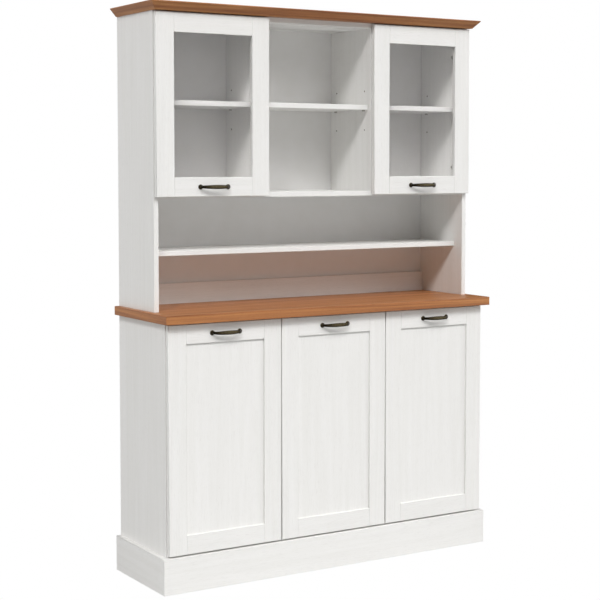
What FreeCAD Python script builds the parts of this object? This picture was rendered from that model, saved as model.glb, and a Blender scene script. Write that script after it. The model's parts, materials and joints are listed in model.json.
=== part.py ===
"""Kitchen buffet: a base cupboard with three framed doors and a glazed hutch on its worktop.

Millimetres, +Z up, front towards -Y. The origin is on the floor, in the middle of the footprint.
"""
import math
import os
from collections import namedtuple

import FreeCAD
import Part

Vector = FreeCAD.Vector

# Carcass boards
carcass_width = 1200.0
board = 16.0
back_panel_thickness = 3.0
back_panel_inset = 10.0
back_groove_depth = 6.0
panel_clearance = 0.2
door_columns = 3

# Base unit
base_depth = 328.0
base_height = 828.0
base_rail_depth = 80.0
base_shelf_rise = 340.0
base_shelf_setback = 25.0
plinth_height = 112.0
plinth_front_thickness = 19.0
plinth_side_thickness = 16.0
plinth_edge_round = 2.0

# Worktop
worktop_thickness = 28.0
worktop_side_overhang = 16.0
worktop_front_overhang = 43.0
worktop_edge_round = 2.0

# Hutch
hutch_depth = 256.0
hutch_height = 918.0
hutch_floor_rise = 349.0
hutch_shelf_rise = 269.0
hutch_shelf_setback = 16.0
divider_show = 3.0
spice_shelf_rise = 169.0
spice_shelf_thickness = 15.0
spice_shelf_setback = 44.0
back_rail_height = 67.0

# Cornice
cornice_thickness = 26.0
cornice_side_overhang = 24.0
cornice_front_overhang = 28.0
cornice_bevel = 20.0
cornice_lip = 3.0

# Loose shelves and the pins that carry them
shelf_side_clearance = 1.0
shelf_back_clearance = 2.0
pin_radius = 2.5
pin_seat_depth = 6.5
pin_reach = 9.0
pin_clearance = 0.05
pin_column_inset = 37.0
pin_hole_pitch = 64.0
pin_hole_depth = 7.0
pin_holes_each_way = 1

# Doors
door_thickness = 16.0
door_stand_off = 2.0
door_edge_gap = 2.0
door_edge_round = 2.0
base_door_bottom_gap = 5.0
base_door_top_gap = 4.0
hutch_door_bottom_lap = 12.0
hutch_door_top_gap = 4.0
stile_width = 61.0
rail_width = 60.0
frame_bevel = 1.0
panel_thickness = 6.0
panel_recess = 6.0
panel_groove_depth = 9.0
glass_thickness = 3.0
glass_rebate_width = 7.0
glass_rebate_depth = 5.0

# Concealed hinges
hinge_end_distance = 90.0
pin_from_edge = 7.3
pin_from_back = 9.5
hinge_pin_radius = 1.25
hinge_pin_clearance = 0.05
hinge_pin_grip = 0.02
cup_radius = 17.5
cup_from_edge = 3.0
cup_depth = 13.0
cup_wall = 0.9
cup_clearance = 0.1
cup_cheek_height = 6.5
cup_wing_thickness = 1.2
cup_wing_span = 52.0
cup_wing_width = 16.0
arm_width = 9.0
arm_thickness = 2.4
arm_knuckle_radius = 2.4
arm_side_clearance = 0.25
arm_reach = 62.0
plate_thickness = 3.5
plate_start = 24.0
plate_length = 34.0
plate_height = 18.0
plate_wing_length = 14.0
plate_wing_height = 46.0
plate_screw_spacing = 32.0
plate_screw_radius = 1.75
plate_screw_depth = 11.0
plate_screw_head_radius = 3.2
plate_screw_head_height = 1.2
screw_clearance = 0.05

# Handles
handle_centres = 96.0
handle_projection = 24.0
handle_mid_height = 13.0
handle_end_height = 8.0
handle_bar_thickness = 5.0
handle_bow_power = 2.6
handle_sections = 17
handle_end_angle_share = 0.965
rosette_radius = 8.0
rosette_thickness = 2.5
boss_base_radius = 6.0
boss_tip_radius = 4.2
boss_length = 6.0
handle_screw_radius = 2.0
handle_screw_bite = 6.0
handle_screw_head_radius = 4.0
handle_screw_head_height = 1.6

# Dowels in the board joints
dowel_radius = 4.0
dowel_face_depth = 10.0
dowel_edge_depth = 19.0
dowel_end_inset = 45.0
dowel_stagger = 40.0
dowel_clearance = 0.05
dowel_end_clearance = 0.5

# One overrun serves every cut
overrun = 5.0

# Places worked out from the sizes
half_width = carcass_width / 2
base_front = (worktop_front_overhang - base_depth) / 2
base_back = base_front + base_depth
back_face = base_back - back_panel_inset - back_panel_thickness
worktop_top = base_height + worktop_thickness
hutch_front = base_back - hutch_depth
hutch_top_z = worktop_top + hutch_height
hutch_floor_z = worktop_top + hutch_floor_rise
hutch_floor_top = hutch_floor_z + board
hutch_ceiling = hutch_top_z - board
hutch_shelf_z = hutch_floor_top + hutch_shelf_rise
base_floor_top = plinth_height + board
base_ceiling = base_height - board
base_shelf_z = base_floor_top + base_shelf_rise
inner_half = half_width - board
column_width = carcass_width / door_columns
door_width = column_width - 2 * door_edge_gap
hutch_divider_inner = half_width - column_width + door_edge_gap - divider_show
hutch_divider_outer = hutch_divider_inner + board
base_divider_centre = half_width - column_width
base_divider_inner = base_divider_centre - board / 2
base_divider_outer = base_divider_centre + board / 2

Door = namedtuple("Door", "name left bottom height carcass_front hinge_sign bearing_face glazed")
Shelf = namedtuple("Shelf", "name left right front underside")


def block(x_pair, y_pair, z_pair):
    """Box between two planes on each axis."""
    size = [pair[1] - pair[0] for pair in (x_pair, y_pair, z_pair)]
    return Part.makeBox(*size, Vector(x_pair[0], y_pair[0], z_pair[0]))


def rod(radius, length, base, axis):
    """Cylinder from base along axis."""
    return Part.makeCylinder(radius, length, base, axis)


def rounded(shape, radius, wanted):
    """Round the straight edges that the test picks out by their two end points."""
    edges = [edge for edge in shape.Edges if wanted(*[vertex.Point for vertex in edge.Vertexes])]
    return shape.makeFillet(radius, edges)


def same(first, second):
    """Whether two lengths are equal."""
    return math.isclose(first, second, abs_tol=panel_clearance / overrun)


def both_sides(shape):
    """The shape and its mirror image across the middle of the buffet."""
    return [shape, shape.mirror(Vector(), Vector(1, 0, 0))]


def back_groove(x_inner, bottom, top):
    """Cutter for the groove that holds a back panel in a right-hand side."""
    return block((x_inner - overrun, x_inner + back_groove_depth),
                 (back_face - panel_clearance, back_face + back_panel_thickness + panel_clearance),
                 (bottom, top))


def base_sides():
    """Outer sides of the base, down to the floor, grooved for the back panel."""
    side = block((inner_half, half_width), (base_front, base_back), (0, base_height))
    return both_sides(side.cut(back_groove(inner_half, plinth_height, base_height + overrun)))


def base_dividers():
    """Uprights behind the joints between the base doors."""
    return both_sides(block((base_divider_inner, base_divider_outer), (base_front, back_face),
                            (base_floor_top, base_ceiling)))


def back_panel(bottom, top):
    """Thin panel that closes a carcass, held in the grooves of its sides."""
    half = inner_half + back_groove_depth - panel_clearance
    return block((-half, half), (back_face, back_face + back_panel_thickness), (bottom, top))


def plinth_front():
    """Front plinth board, across the ends of the side boards."""
    half = half_width + plinth_side_thickness
    front = base_front - plinth_front_thickness
    plain = block((-half, half), (front, base_front), (0, plinth_height))
    return rounded(plain, plinth_edge_round,
                   lambda a, b: same(a.z, plinth_height) and same(b.z, plinth_height)
                   and (same(a.y, front) or same(b.y, front)))


def plinth_sides():
    """Plinth boards applied to the outer faces of the base sides."""
    outer = half_width + plinth_side_thickness
    plain = block((half_width, outer), (base_front, base_back), (0, plinth_height))
    return both_sides(rounded(plain, plinth_edge_round,
                              lambda a, b: same(a.z, plinth_height) and same(b.z, plinth_height)
                              and same(a.x, outer) and same(b.x, outer)))


def worktop():
    """Wood worktop with eased edges on the front and ends."""
    half = half_width + worktop_side_overhang
    front = base_front - worktop_front_overhang
    plain = block((-half, half), (front, base_back), (base_height, worktop_top))
    return rounded(plain, worktop_edge_round,
                   lambda a, b: same(a.z, b.z) and not (same(a.y, base_back) and same(b.y, base_back)))


def hutch_sides():
    """Outer sides of the hutch, standing on the worktop, grooved for the back panel."""
    side = block((inner_half, half_width), (hutch_front, base_back), (worktop_top, hutch_top_z))
    return both_sides(side.cut(back_groove(inner_half, worktop_top - overrun, hutch_top_z + overrun)))


def hutch_dividers():
    """Uprights on the inner side of the two glazed cupboards."""
    return both_sides(block((hutch_divider_inner, hutch_divider_outer), (hutch_front, back_face),
                            (hutch_floor_top, hutch_ceiling)))


def across(front, bottom, top):
    """Board between the outer sides, from a front edge to the back panel."""
    return block((-inner_half, inner_half), (front, back_face), (bottom, top))


def rectangle(half, front, height):
    """Level outline that ends at the back of the buffet."""
    corners = [Vector(-half, front, height), Vector(half, front, height),
               Vector(half, base_back, height), Vector(-half, base_back, height)]
    return Part.makePolygon(corners + corners[:1])


def cornice():
    """Top board with its front and ends bevelled inwards towards the hutch."""
    half = half_width + cornice_side_overhang
    front = hutch_front - door_stand_off - door_thickness - cornice_front_overhang
    top = hutch_top_z + cornice_thickness
    lip_bottom = top - cornice_lip
    lower = rectangle(half - cornice_bevel, front + cornice_bevel, hutch_top_z)
    bevel = Part.makeLoft([lower, rectangle(half, front, lip_bottom)], True, True)
    lip = block((-half, half), (front, base_back), (lip_bottom, top))
    return bevel.fuse(lip).removeSplitter()


def shelves_of(prefix, divider_inner, divider_outer, front, underside):
    """The three loose shelves of one carcass: left, middle and right."""
    spans = [("left", -inner_half, -divider_outer), ("middle", -divider_inner, divider_inner),
             ("right", divider_outer, inner_half)]
    return [Shelf(prefix + "_shelf_" + place, left, right, front, underside)
            for place, left, right in spans]


def shelf_board(shelf):
    """Loose shelf, a little narrower than its bay."""
    return block((shelf.left + shelf_side_clearance, shelf.right - shelf_side_clearance),
                 (shelf.front, back_face - shelf_back_clearance),
                 (shelf.underside, shelf.underside + board))


def pin_places(shelf, carcass_front):
    """Wall points under the shelf's four corners, each with the direction into the bay."""
    columns = (carcass_front + pin_column_inset, back_face - pin_column_inset)
    height = shelf.underside - pin_radius
    return [(Vector(wall, y, height), Vector(way, 0, 0))
            for wall, way in ((shelf.left, 1), (shelf.right, -1)) for y in columns]


def shelf_pin(place):
    """Pin that goes into the wall and stands out under the shelf."""
    point, way = place
    return rod(pin_radius, pin_seat_depth + pin_reach, point - way * pin_seat_depth, way)


def pin_holes(place):
    """Column of holes around one pin, cut into the wall."""
    point, way = place
    steps = range(-pin_holes_each_way, pin_holes_each_way + 1)
    return [rod(pin_radius + pin_clearance, pin_hole_depth + overrun,
                point + Vector(0, 0, step * pin_hole_pitch) - way * pin_hole_depth, way) for step in steps]


def dowel(place, radius, end_room):
    """Dowel, or the hole for it, from the face of one board into the edge of the next."""
    point, way = place
    length = dowel_face_depth + dowel_edge_depth + 2 * end_room
    return rod(radius, length, point - way * (dowel_face_depth + end_room), way)


def dowel_places():
    """Points on the joint planes of the boards, each with the direction into the edge-on board."""
    up = Vector(0, 0, 1)
    base_line = (base_front + dowel_end_inset, back_face - dowel_end_inset)
    hutch_line = (hutch_front + dowel_end_inset, back_face - dowel_end_inset)
    rail_line = (base_front + base_rail_depth / 2, back_face - base_rail_depth / 2)
    spice_line = (hutch_front + spice_shelf_setback + dowel_end_inset, back_face - dowel_end_inset)
    base_top_line = (base_line[0] + dowel_stagger, base_line[1] - dowel_stagger)
    hutch_top_line = (hutch_line[0] + dowel_stagger, hutch_line[1] - dowel_stagger)
    half_board = board / 2
    level = [(base_line, plinth_height + half_board), (rail_line, base_ceiling + half_board),
             (hutch_line, hutch_floor_z + half_board), (hutch_line, hutch_ceiling + half_board),
             (spice_line, worktop_top + spice_shelf_rise + spice_shelf_thickness / 2),
             ((back_face - half_board,), worktop_top + back_rail_height / 2)]
    places = [(Vector(side * inner_half, y, z), Vector(-side, 0, 0))
              for line, z in level for y in line for side in (-1, 1)]
    hutch_divider = (hutch_divider_inner + hutch_divider_outer) / 2
    side_centre = half_width - half_board
    upright = [(base_divider_centre, base_line, base_floor_top, up),
               (base_divider_centre, rail_line, base_ceiling, -up),
               (hutch_divider, hutch_line, hutch_floor_top, up),
               (hutch_divider, hutch_line, hutch_ceiling, -up),
               (side_centre, base_top_line, base_height, -up),
               (side_centre, hutch_line, worktop_top, up),
               (side_centre, hutch_top_line, hutch_top_z, -up)]
    places += [(Vector(side * x, y, z), way)
               for x, line, z, way in upright for y in line for side in (-1, 1)]
    return places


def bored(shape, cutters):
    """The shape less those cutters whose boxes reach it."""
    near = [cutter for cutter in cutters if cutter.BoundBox.intersect(shape.BoundBox)]
    return shape.cut(near) if near else shape


def doors():
    """The five doors: three on the base, two glazed ones on the hutch."""
    base_low = plinth_height + base_door_bottom_gap
    base_tall = base_height - base_door_top_gap - base_low
    hutch_low = hutch_floor_top - hutch_door_bottom_lap
    hutch_tall = hutch_top_z - hutch_door_top_gap - hutch_low
    lefts = [-half_width + column * column_width + door_edge_gap for column in range(door_columns)]
    base = [("left", lefts[0], 1, -inner_half), ("middle", lefts[1], -1, base_divider_inner),
            ("right", lefts[-1], -1, inner_half)]
    hutch = [("left", lefts[0], 1, -inner_half), ("right", lefts[-1], -1, inner_half)]
    found = [Door("base_door_" + place, left, base_low, base_tall, base_front, sign, face, False)
             for place, left, sign, face in base]
    found += [Door("hutch_door_" + place, left, hutch_low, hutch_tall, hutch_front, sign, face, True)
              for place, left, sign, face in hutch]
    return found


def door_back(door):
    """Y of the door's back face."""
    return door.carcass_front - door_stand_off


def door_front(door):
    """Y of the door's front face."""
    return door_back(door) - door_thickness


def opening(door, grow, y_pair):
    """Box over the door's framed opening, grown by a margin all round."""
    return block((door.left + stile_width - grow, door.left + door_width - stile_width + grow), y_pair,
                 (door.bottom + rail_width - grow, door.bottom + door.height - rail_width + grow))


def opening_outline(door, grow, y):
    """Outline of the framed opening in one plane, grown by a margin all round."""
    x_pair = (door.left + stile_width - grow, door.left + door_width - stile_width + grow)
    z_pair = (door.bottom + rail_width - grow, door.bottom + door.height - rail_width + grow)
    corners = [Vector(x_pair[0], y, z_pair[0]), Vector(x_pair[1], y, z_pair[0]),
               Vector(x_pair[1], y, z_pair[1]), Vector(x_pair[0], y, z_pair[1])]
    return Part.makePolygon(corners + corners[:1])


def door_blank(door):
    """Whole frame of a door before it is parted into stiles and rails."""
    front = door_front(door)
    back = door_back(door)
    plain = block((door.left, door.left + door_width), (front, back),
                  (door.bottom, door.bottom + door.height))
    blank = rounded(plain, door_edge_round, lambda a, b: same(a.y, b.y))
    outlines = [opening_outline(door, frame_bevel, front), opening_outline(door, 0, front + frame_bevel)]
    bevel = Part.makeLoft(outlines, True, True)
    through = opening(door, 0, (front - overrun, back + overrun))
    if door.glazed:
        seat = opening(door, glass_rebate_width, (back - glass_rebate_depth, back + overrun))
    else:
        seat = opening(door, panel_groove_depth, (front + panel_recess - panel_clearance,
                                                  front + panel_recess + panel_thickness + panel_clearance))
    return blank.cut([through, bevel, seat])


def stile_zones(door):
    """Boxes over the two full-height stiles."""
    y_pair = (door_front(door) - overrun, door_back(door) + overrun)
    z_pair = (door.bottom - overrun, door.bottom + door.height + overrun)
    left = (door.left - overrun, door.left + stile_width)
    right = (door.left + door_width - stile_width, door.left + door_width + overrun)
    return [block(pair, y_pair, z_pair) for pair in (left, right)]


def rail_zones(door):
    """Boxes over the two rails between the stiles."""
    x_pair = (door.left + stile_width, door.left + door_width - stile_width)
    y_pair = (door_front(door) - overrun, door_back(door) + overrun)
    low = (door.bottom - overrun, door.bottom + rail_width)
    high = (door.bottom + door.height - rail_width, door.bottom + door.height + overrun)
    return [block(x_pair, y_pair, pair) for pair in (low, high)]


def door_infill(door):
    """Framed panel of a base door, or glass pane of a hutch door."""
    front = door_front(door)
    back = door_back(door)
    if door.glazed:
        seat = back - glass_rebate_depth
        return opening(door, glass_rebate_width - panel_clearance, (seat, seat + glass_thickness))
    return opening(door, panel_groove_depth - panel_clearance,
                   (front + panel_recess, front + panel_recess + panel_thickness))


def glass_beads(door):
    """Four strips that hold the pane in its rebate: two uprights and two between them."""
    back = door_back(door)
    y_pair = (back - glass_rebate_depth + glass_thickness, back)
    rim = opening(door, glass_rebate_width - panel_clearance, y_pair)
    ring = rim.cut(opening(door, 0, (y_pair[0] - overrun, y_pair[1] + overrun)))
    return [ring.common(zone) for zone in stile_zones(door) + rail_zones(door)]


def hinge_heights(door):
    """Z of the door's two hinges."""
    return (door.bottom + hinge_end_distance, door.bottom + door.height - hinge_end_distance)


def at_hinge(door, shape, height):
    """Move a hinge piece from its own frame to the door's edge.

    In the piece's own frame X runs in from the hinged edge, Y back from the door's back face.
    """
    placed = shape if door.hinge_sign > 0 else shape.mirror(Vector(), Vector(1, 0, 0))
    edge = door.left if door.hinge_sign > 0 else door.left + door_width
    return placed.translated(Vector(edge, door_back(door), height))


def cup_bore():
    """Cutter for the round recess that takes a hinge cup."""
    centre = Vector(cup_from_edge + cup_radius, -cup_depth - cup_clearance, 0)
    return rod(cup_radius + cup_clearance, cup_depth + cup_clearance + overrun, centre, Vector(0, 1, 0))


def hinge_pin(clearance):
    """Pin across the cup, or the longer hole for it."""
    offset = cup_from_edge + cup_radius - pin_from_edge + hinge_pin_radius
    half = math.sqrt(cup_radius ** 2 - offset ** 2)
    if clearance:
        half += overrun
    foot = Vector(pin_from_edge, -pin_from_back, -half)
    return rod(hinge_pin_radius + clearance, 2 * half, foot, Vector(0, 0, 1))


def hinge_cup():
    """Cup with two wings on the door's back and two cheeks that hold the pin."""
    back = Vector(0, 1, 0)
    centre = Vector(cup_from_edge + cup_radius, -cup_depth, 0)
    full = rod(cup_radius, cup_depth, centre, back)
    hollow = rod(cup_radius - cup_wall, cup_depth, centre + back * cup_wall, back)
    cheek_inner = arm_width / 2 + arm_side_clearance
    cheek_zone = (pin_from_edge - cup_radius, pin_from_edge + arm_knuckle_radius)
    cheeks = [block(cheek_zone, (-cup_depth, -cup_depth + cup_cheek_height), pair).common(full)
              for pair in ((cheek_inner, cup_radius), (-cup_radius, -cheek_inner))]
    wing_pair = (centre.x - cup_wing_width / 2, centre.x + cup_wing_width / 2)
    wings = block(wing_pair, (0, cup_wing_thickness), (-cup_wing_span / 2, cup_wing_span / 2))
    mouth = rod(cup_radius - cup_wall, cup_depth, Vector(centre.x, -cup_wall, 0), back)
    cup = full.cut(hollow).fuse(cheeks).fuse(wings).cut(mouth.cut(block(
        cheek_zone, (-cup_depth, -cup_depth + cup_cheek_height), (-cup_radius, cup_radius))))
    return cup.removeSplitter().cut(hinge_pin(hinge_pin_grip))


def hinge_arm():
    """Fixed arm: a knuckle on the pin, a neck out of the cup, a flat tail on the mounting plate."""
    half = arm_width / 2
    tail = tail_face()
    neck_y = (-pin_from_back - arm_thickness / 2, -pin_from_back + arm_thickness / 2)
    neck = block((pin_from_edge, tail + arm_thickness), neck_y, (-half, half))
    shank = block((tail, tail + arm_thickness), (neck_y[0], arm_reach), (-half, half))
    foot = Vector(pin_from_edge, -pin_from_back, -half)
    knuckle = rod(arm_knuckle_radius, arm_width, foot, Vector(0, 0, 1))
    arm = knuckle.fuse([neck, shank]).removeSplitter()
    return arm.cut(hinge_pin(hinge_pin_clearance))


def tail_face():
    """Distance from a door's hinged edge to the face of the mounting plate, on a full-overlay hinge."""
    return board - door_edge_gap + plate_thickness


def bearing_offset(door):
    """Distance from the door's hinged edge to the carcass face that carries its hinges."""
    edge = door.left if door.hinge_sign > 0 else door.left + door_width
    return (door.bearing_face - edge) * door.hinge_sign


def screw_heights():
    """Heights of a mounting plate's two screws, from its middle."""
    return (-plate_screw_spacing / 2, plate_screw_spacing / 2)


def mounting_plate(door):
    """Plate on the carcass wall, packed out to the arm's tail on a half-overlay door."""
    x_pair = (bearing_offset(door), tail_face())
    middle = plate_start + plate_length / 2
    body = block(x_pair, (plate_start, plate_start + plate_length), (-plate_height / 2, plate_height / 2))
    wing = block(x_pair, (middle - plate_wing_length / 2, middle + plate_wing_length / 2),
                 (-plate_wing_height / 2, plate_wing_height / 2))
    holes = [plate_screw(door, z, screw_clearance) for z in screw_heights()]
    return body.fuse(wing).removeSplitter().cut(holes)


def plate_screw(door, height, clearance):
    """Screw through a mounting plate into the carcass wall, or the hole for it."""
    middle = plate_start + plate_length / 2
    tip = bearing_offset(door) - plate_screw_depth - clearance
    along = Vector(1, 0, 0)
    shank = rod(plate_screw_radius + clearance, tail_face() - tip, Vector(tip, middle, height), along)
    head = rod(plate_screw_head_radius, plate_screw_head_height, Vector(tail_face(), middle, height), along)
    return shank.fuse(head).removeSplitter()


def handle_centre(door):
    """Point on the door's front face midway between the handle's feet."""
    rail_middle = rail_width / 2
    height = door.bottom + rail_middle if door.glazed else door.bottom + door.height - rail_middle
    return Vector(door.left + door_width / 2, door_front(door), height)


def bow_point(angle):
    """Point of the bow's middle line, from its first foot (0) to its second (pi), seen from above."""
    across_share = math.copysign(abs(math.cos(angle)) ** (2 / handle_bow_power), math.cos(angle))
    out_share = math.sin(angle) ** (2 / handle_bow_power)
    reach = handle_projection - handle_bar_thickness / 2
    return Vector(-across_share * handle_centres / 2, -out_share * reach, 0)


def bow_section(angle, step):
    """Oval section of the bow, square to its middle line."""
    point = bow_point(angle)
    run = (bow_point(angle + step) - bow_point(angle - step)).normalize()
    swell = 1 - (point.x / (handle_centres / 2)) ** 2
    height = handle_end_height + (handle_mid_height - handle_end_height) * swell
    side = Vector(-run.y, run.x, 0) * (handle_bar_thickness / 2)
    oval = Part.Ellipse(point + Vector(0, 0, height / 2), point + side, point)
    return Part.Wire(oval.toShape())


def rosette(centre):
    """Round foot of a handle with a tapered boss."""
    out = Vector(0, -1, 0)
    disc = rod(rosette_radius, rosette_thickness, centre, out)
    boss = Part.makeCone(boss_base_radius, boss_tip_radius, boss_length, centre, out)
    return disc.fuse(boss)


def handle():
    """Bow handle about the middle of its feet, with a blind screw hole in each foot."""
    last = math.pi / 2 * handle_end_angle_share
    step = 2 * last / (handle_sections - 1)
    angles = [math.pi / 2 - last + step * index for index in range(handle_sections)]
    small = (math.pi / 2 - last) / 2
    bow = Part.makeLoft([bow_section(angle, small) for angle in angles], True, False)
    feet = [Vector(-handle_centres / 2, 0, 0), Vector(handle_centres / 2, 0, 0)]
    body = bow.fuse([rosette(foot) for foot in feet]).removeSplitter()
    holes = [rod(handle_screw_radius + screw_clearance, handle_screw_bite + overrun,
                 foot + Vector(0, overrun, 0), Vector(0, -1, 0)) for foot in feet]
    return body.cut(holes)


def handle_screws(clearance):
    """The handle's two screws from the door's back face, or the holes for them."""
    out = Vector(0, -1, 0)
    screws = []
    for side in (-1, 1):
        seat = Vector(side * handle_centres / 2, door_thickness, 0)
        reach = door_thickness + handle_screw_bite - clearance
        shank = rod(handle_screw_radius + clearance, reach, seat, out)
        head = rod(handle_screw_head_radius, handle_screw_head_height, seat, -out)
        screws.append(shank.fuse(head).removeSplitter())
    return screws


def door_nodes(door):
    """Every node of one door."""
    heights = hinge_heights(door)
    centre = handle_centre(door)
    bores = [at_hinge(door, cup_bore(), height) for height in heights]
    holes = [screw.translated(centre) for screw in handle_screws(screw_clearance)]
    blank = door_blank(door)
    cups = [at_hinge(door, piece, height) for height in heights for piece in (hinge_cup(), hinge_pin(0))]
    pull = [handle().translated(centre)] + [screw.translated(centre) for screw in handle_screws(0)]
    found = {
        door.name + "_stiles": [bored(blank.common(zone), bores) for zone in stile_zones(door)],
        door.name + "_rails": [bored(blank.common(zone), holes) for zone in rail_zones(door)],
        door.name + ("_glass" if door.glazed else "_panel"): [door_infill(door)],
        door.name + "_handle": pull,
        door.name + "_hinge_cups": cups,
    }
    if door.glazed:
        found[door.name + "_glass_beads"] = glass_beads(door)
    return found


def hinge_hardware(all_doors):
    """Carcass side of every hinge: arms, mounting plates, their screws, and the screw holes."""
    arms, plates, screws, holes = [], [], [], []
    for door in all_doors:
        for height in hinge_heights(door):
            arms.append(at_hinge(door, hinge_arm(), height))
            plates.append(at_hinge(door, mounting_plate(door), height))
            screws += [at_hinge(door, plate_screw(door, z, 0), height) for z in screw_heights()]
            holes += [at_hinge(door, plate_screw(door, z, screw_clearance), height)
                      for z in screw_heights()]
    return {"hinge_arms": arms, "hinge_plates": plates, "hinge_plate_screws": screws}, holes


def pair(name, shapes):
    """Name the right-hand shape and its left-hand mirror image."""
    return {name + "_right": [shapes[0]], name + "_left": [shapes[1]]}


def carcass():
    """Boards of the base and the hutch, before they are bored."""
    rail_front = (base_front, base_front + base_rail_depth)
    rail_rear = (back_face - base_rail_depth, back_face)
    inside = (-inner_half, inner_half)
    spice_z = worktop_top + spice_shelf_rise
    boards = {
        "base_bottom": [across(base_front, plinth_height, base_floor_top)],
        "base_top_rail_front": [block(inside, rail_front, (base_ceiling, base_height))],
        "base_top_rail_rear": [block(inside, rail_rear, (base_ceiling, base_height))],
        "base_back_panel": [back_panel(plinth_height, base_height)],
        "plinth_front": [plinth_front()],
        "worktop": [worktop()],
        "hutch_top": [across(hutch_front, hutch_ceiling, hutch_top_z)],
        "hutch_floor": [across(hutch_front, hutch_floor_z, hutch_floor_top)],
        "hutch_back_panel": [back_panel(worktop_top, hutch_top_z)],
        "hutch_back_rail": [across(back_face - board, worktop_top, worktop_top + back_rail_height)],
        "spice_shelf": [across(hutch_front + spice_shelf_setback,
                               spice_z, spice_z + spice_shelf_thickness)],
        "cornice": [cornice()],
    }
    boards.update(pair("base_side", base_sides()))
    boards.update(pair("base_divider", base_dividers()))
    boards.update(pair("plinth", plinth_sides()))
    boards.update(pair("hutch_side", hutch_sides()))
    boards.update(pair("hutch_divider", hutch_dividers()))
    return boards


def buffet():
    """Every node of the buffet, as a list of solids."""
    base_shelves = shelves_of("base", base_divider_inner, base_divider_outer,
                              base_front + base_shelf_setback, base_shelf_z)
    hutch_shelves = shelves_of("hutch", hutch_divider_inner, hutch_divider_outer,
                               hutch_front + hutch_shelf_setback, hutch_shelf_z)
    places = [place for shelf in base_shelves for place in pin_places(shelf, base_front)]
    places += [place for shelf in hutch_shelves for place in pin_places(shelf, hutch_front)]
    all_doors = doors()
    hardware, cutters = hinge_hardware(all_doors)
    cutters += [hole for place in places for hole in pin_holes(place)]
    cutters += [dowel(place, dowel_radius + dowel_clearance, dowel_end_clearance)
                for place in dowel_places()]
    nodes = {name: [bored(solid, cutters) for solid in solids] for name, solids in carcass().items()}
    nodes.update({shelf.name: [shelf_board(shelf)] for shelf in base_shelves + hutch_shelves})
    nodes["shelf_pins"] = [shelf_pin(place) for place in places]
    nodes["dowels"] = [dowel(place, dowel_radius, 0) for place in dowel_places()]
    nodes.update(hardware)
    for door in all_doors:
        nodes.update(door_nodes(door))
    return nodes


def main():
    """Write one file per node."""
    os.makedirs("parts", exist_ok=True)
    for name, solids in buffet().items():
        shape = solids[0] if len(solids) == 1 else Part.makeCompound(solids)
        if not shape.isValid():
            raise ValueError(name + " is not a valid shape")
        shape.exportStep("parts/" + name + ".step")


if __name__ == "__main__":
    main()
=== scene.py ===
"""Looks of the kitchen buffet: boards, doors, handles, hinges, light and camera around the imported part."""
import json
import logging
import math
from dataclasses import dataclass
from enum import Enum
from typing import Any, Callable, Iterable, Optional, Sequence

import bmesh
import bpy
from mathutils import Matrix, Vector

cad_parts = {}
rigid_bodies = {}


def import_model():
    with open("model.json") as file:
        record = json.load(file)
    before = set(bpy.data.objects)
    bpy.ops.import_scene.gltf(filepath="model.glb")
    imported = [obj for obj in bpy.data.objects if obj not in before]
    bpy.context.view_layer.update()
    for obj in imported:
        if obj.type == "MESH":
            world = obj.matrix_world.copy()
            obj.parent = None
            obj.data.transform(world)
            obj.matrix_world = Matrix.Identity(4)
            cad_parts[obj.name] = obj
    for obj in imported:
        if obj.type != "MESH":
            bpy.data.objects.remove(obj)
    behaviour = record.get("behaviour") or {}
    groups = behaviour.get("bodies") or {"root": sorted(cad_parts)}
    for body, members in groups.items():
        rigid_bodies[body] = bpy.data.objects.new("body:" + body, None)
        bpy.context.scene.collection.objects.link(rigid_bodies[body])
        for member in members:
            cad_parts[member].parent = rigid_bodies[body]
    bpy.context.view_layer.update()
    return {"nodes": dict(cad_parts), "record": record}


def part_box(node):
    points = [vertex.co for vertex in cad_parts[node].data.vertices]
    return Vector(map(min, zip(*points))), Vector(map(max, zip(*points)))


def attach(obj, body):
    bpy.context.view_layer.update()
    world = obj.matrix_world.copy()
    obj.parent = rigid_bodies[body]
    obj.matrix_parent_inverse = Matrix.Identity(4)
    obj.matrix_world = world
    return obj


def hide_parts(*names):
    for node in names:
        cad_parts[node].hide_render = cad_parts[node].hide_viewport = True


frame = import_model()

LOG = logging.getLogger("buffet")
MM = 0.001
RESIN_IOR = 1.5
MOTTLE_SPAN = (0.3, 0.7)
WHITE_LIGHT = "#FFFFFF"

Box = tuple[Vector, Vector]
BMesh = bmesh.types.BMesh
Mesh = bpy.types.Mesh
Pair = tuple[float, float]
Socket = bpy.types.NodeSocket
Spot = tuple[Vector, Vector]
Stops = tuple[tuple[float, str], ...]
Tree = bpy.types.NodeTree
Triple = tuple[float, float, float]


class GrainRun(Enum):
    """The way the grain of a board runs, as an axis of the part."""

    ACROSS = 0
    DEEP = 1
    UPRIGHT = 2


class DoorKind(Enum):
    """What fills the frame of a door."""

    PANEL = "panel"
    GLAZED = "glass"


def to_linear(colour: str) -> tuple[float, float, float, float]:
    """Turn an sRGB hex colour into linear light.

    Args:
        colour: The colour as "#RRGGBB".

    Returns:
        Red, green, blue and a full alpha, as the shader takes them.
    """
    parts = [int(colour[place:place + 2], 16) / 255.0 for place in (1, 3, 5)]
    light = [part / 12.92 if part <= 0.04045 else ((part + 0.055) / 1.055) ** 2.4 for part in parts]
    return (light[0], light[1], light[2], 1.0)


def add_node(tree: Tree, kind: str, inputs: Optional[dict] = None, **settings: Any) -> bpy.types.Node:
    """Add one node with its settings, values and links.

    Args:
        tree: The node tree that takes the node.
        kind: Blender's name for the node.
        inputs: Values or sockets by the name or number of the input.
        settings: The node's own properties.

    Returns:
        The new node.
    """
    node = tree.nodes.new(kind)
    for name, value in settings.items():
        setattr(node, name, value)
    for key, value in (inputs or {}).items():
        if isinstance(value, Socket):
            tree.links.new(value, node.inputs[key])
        else:
            node.inputs[key].default_value = value
    return node


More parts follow.
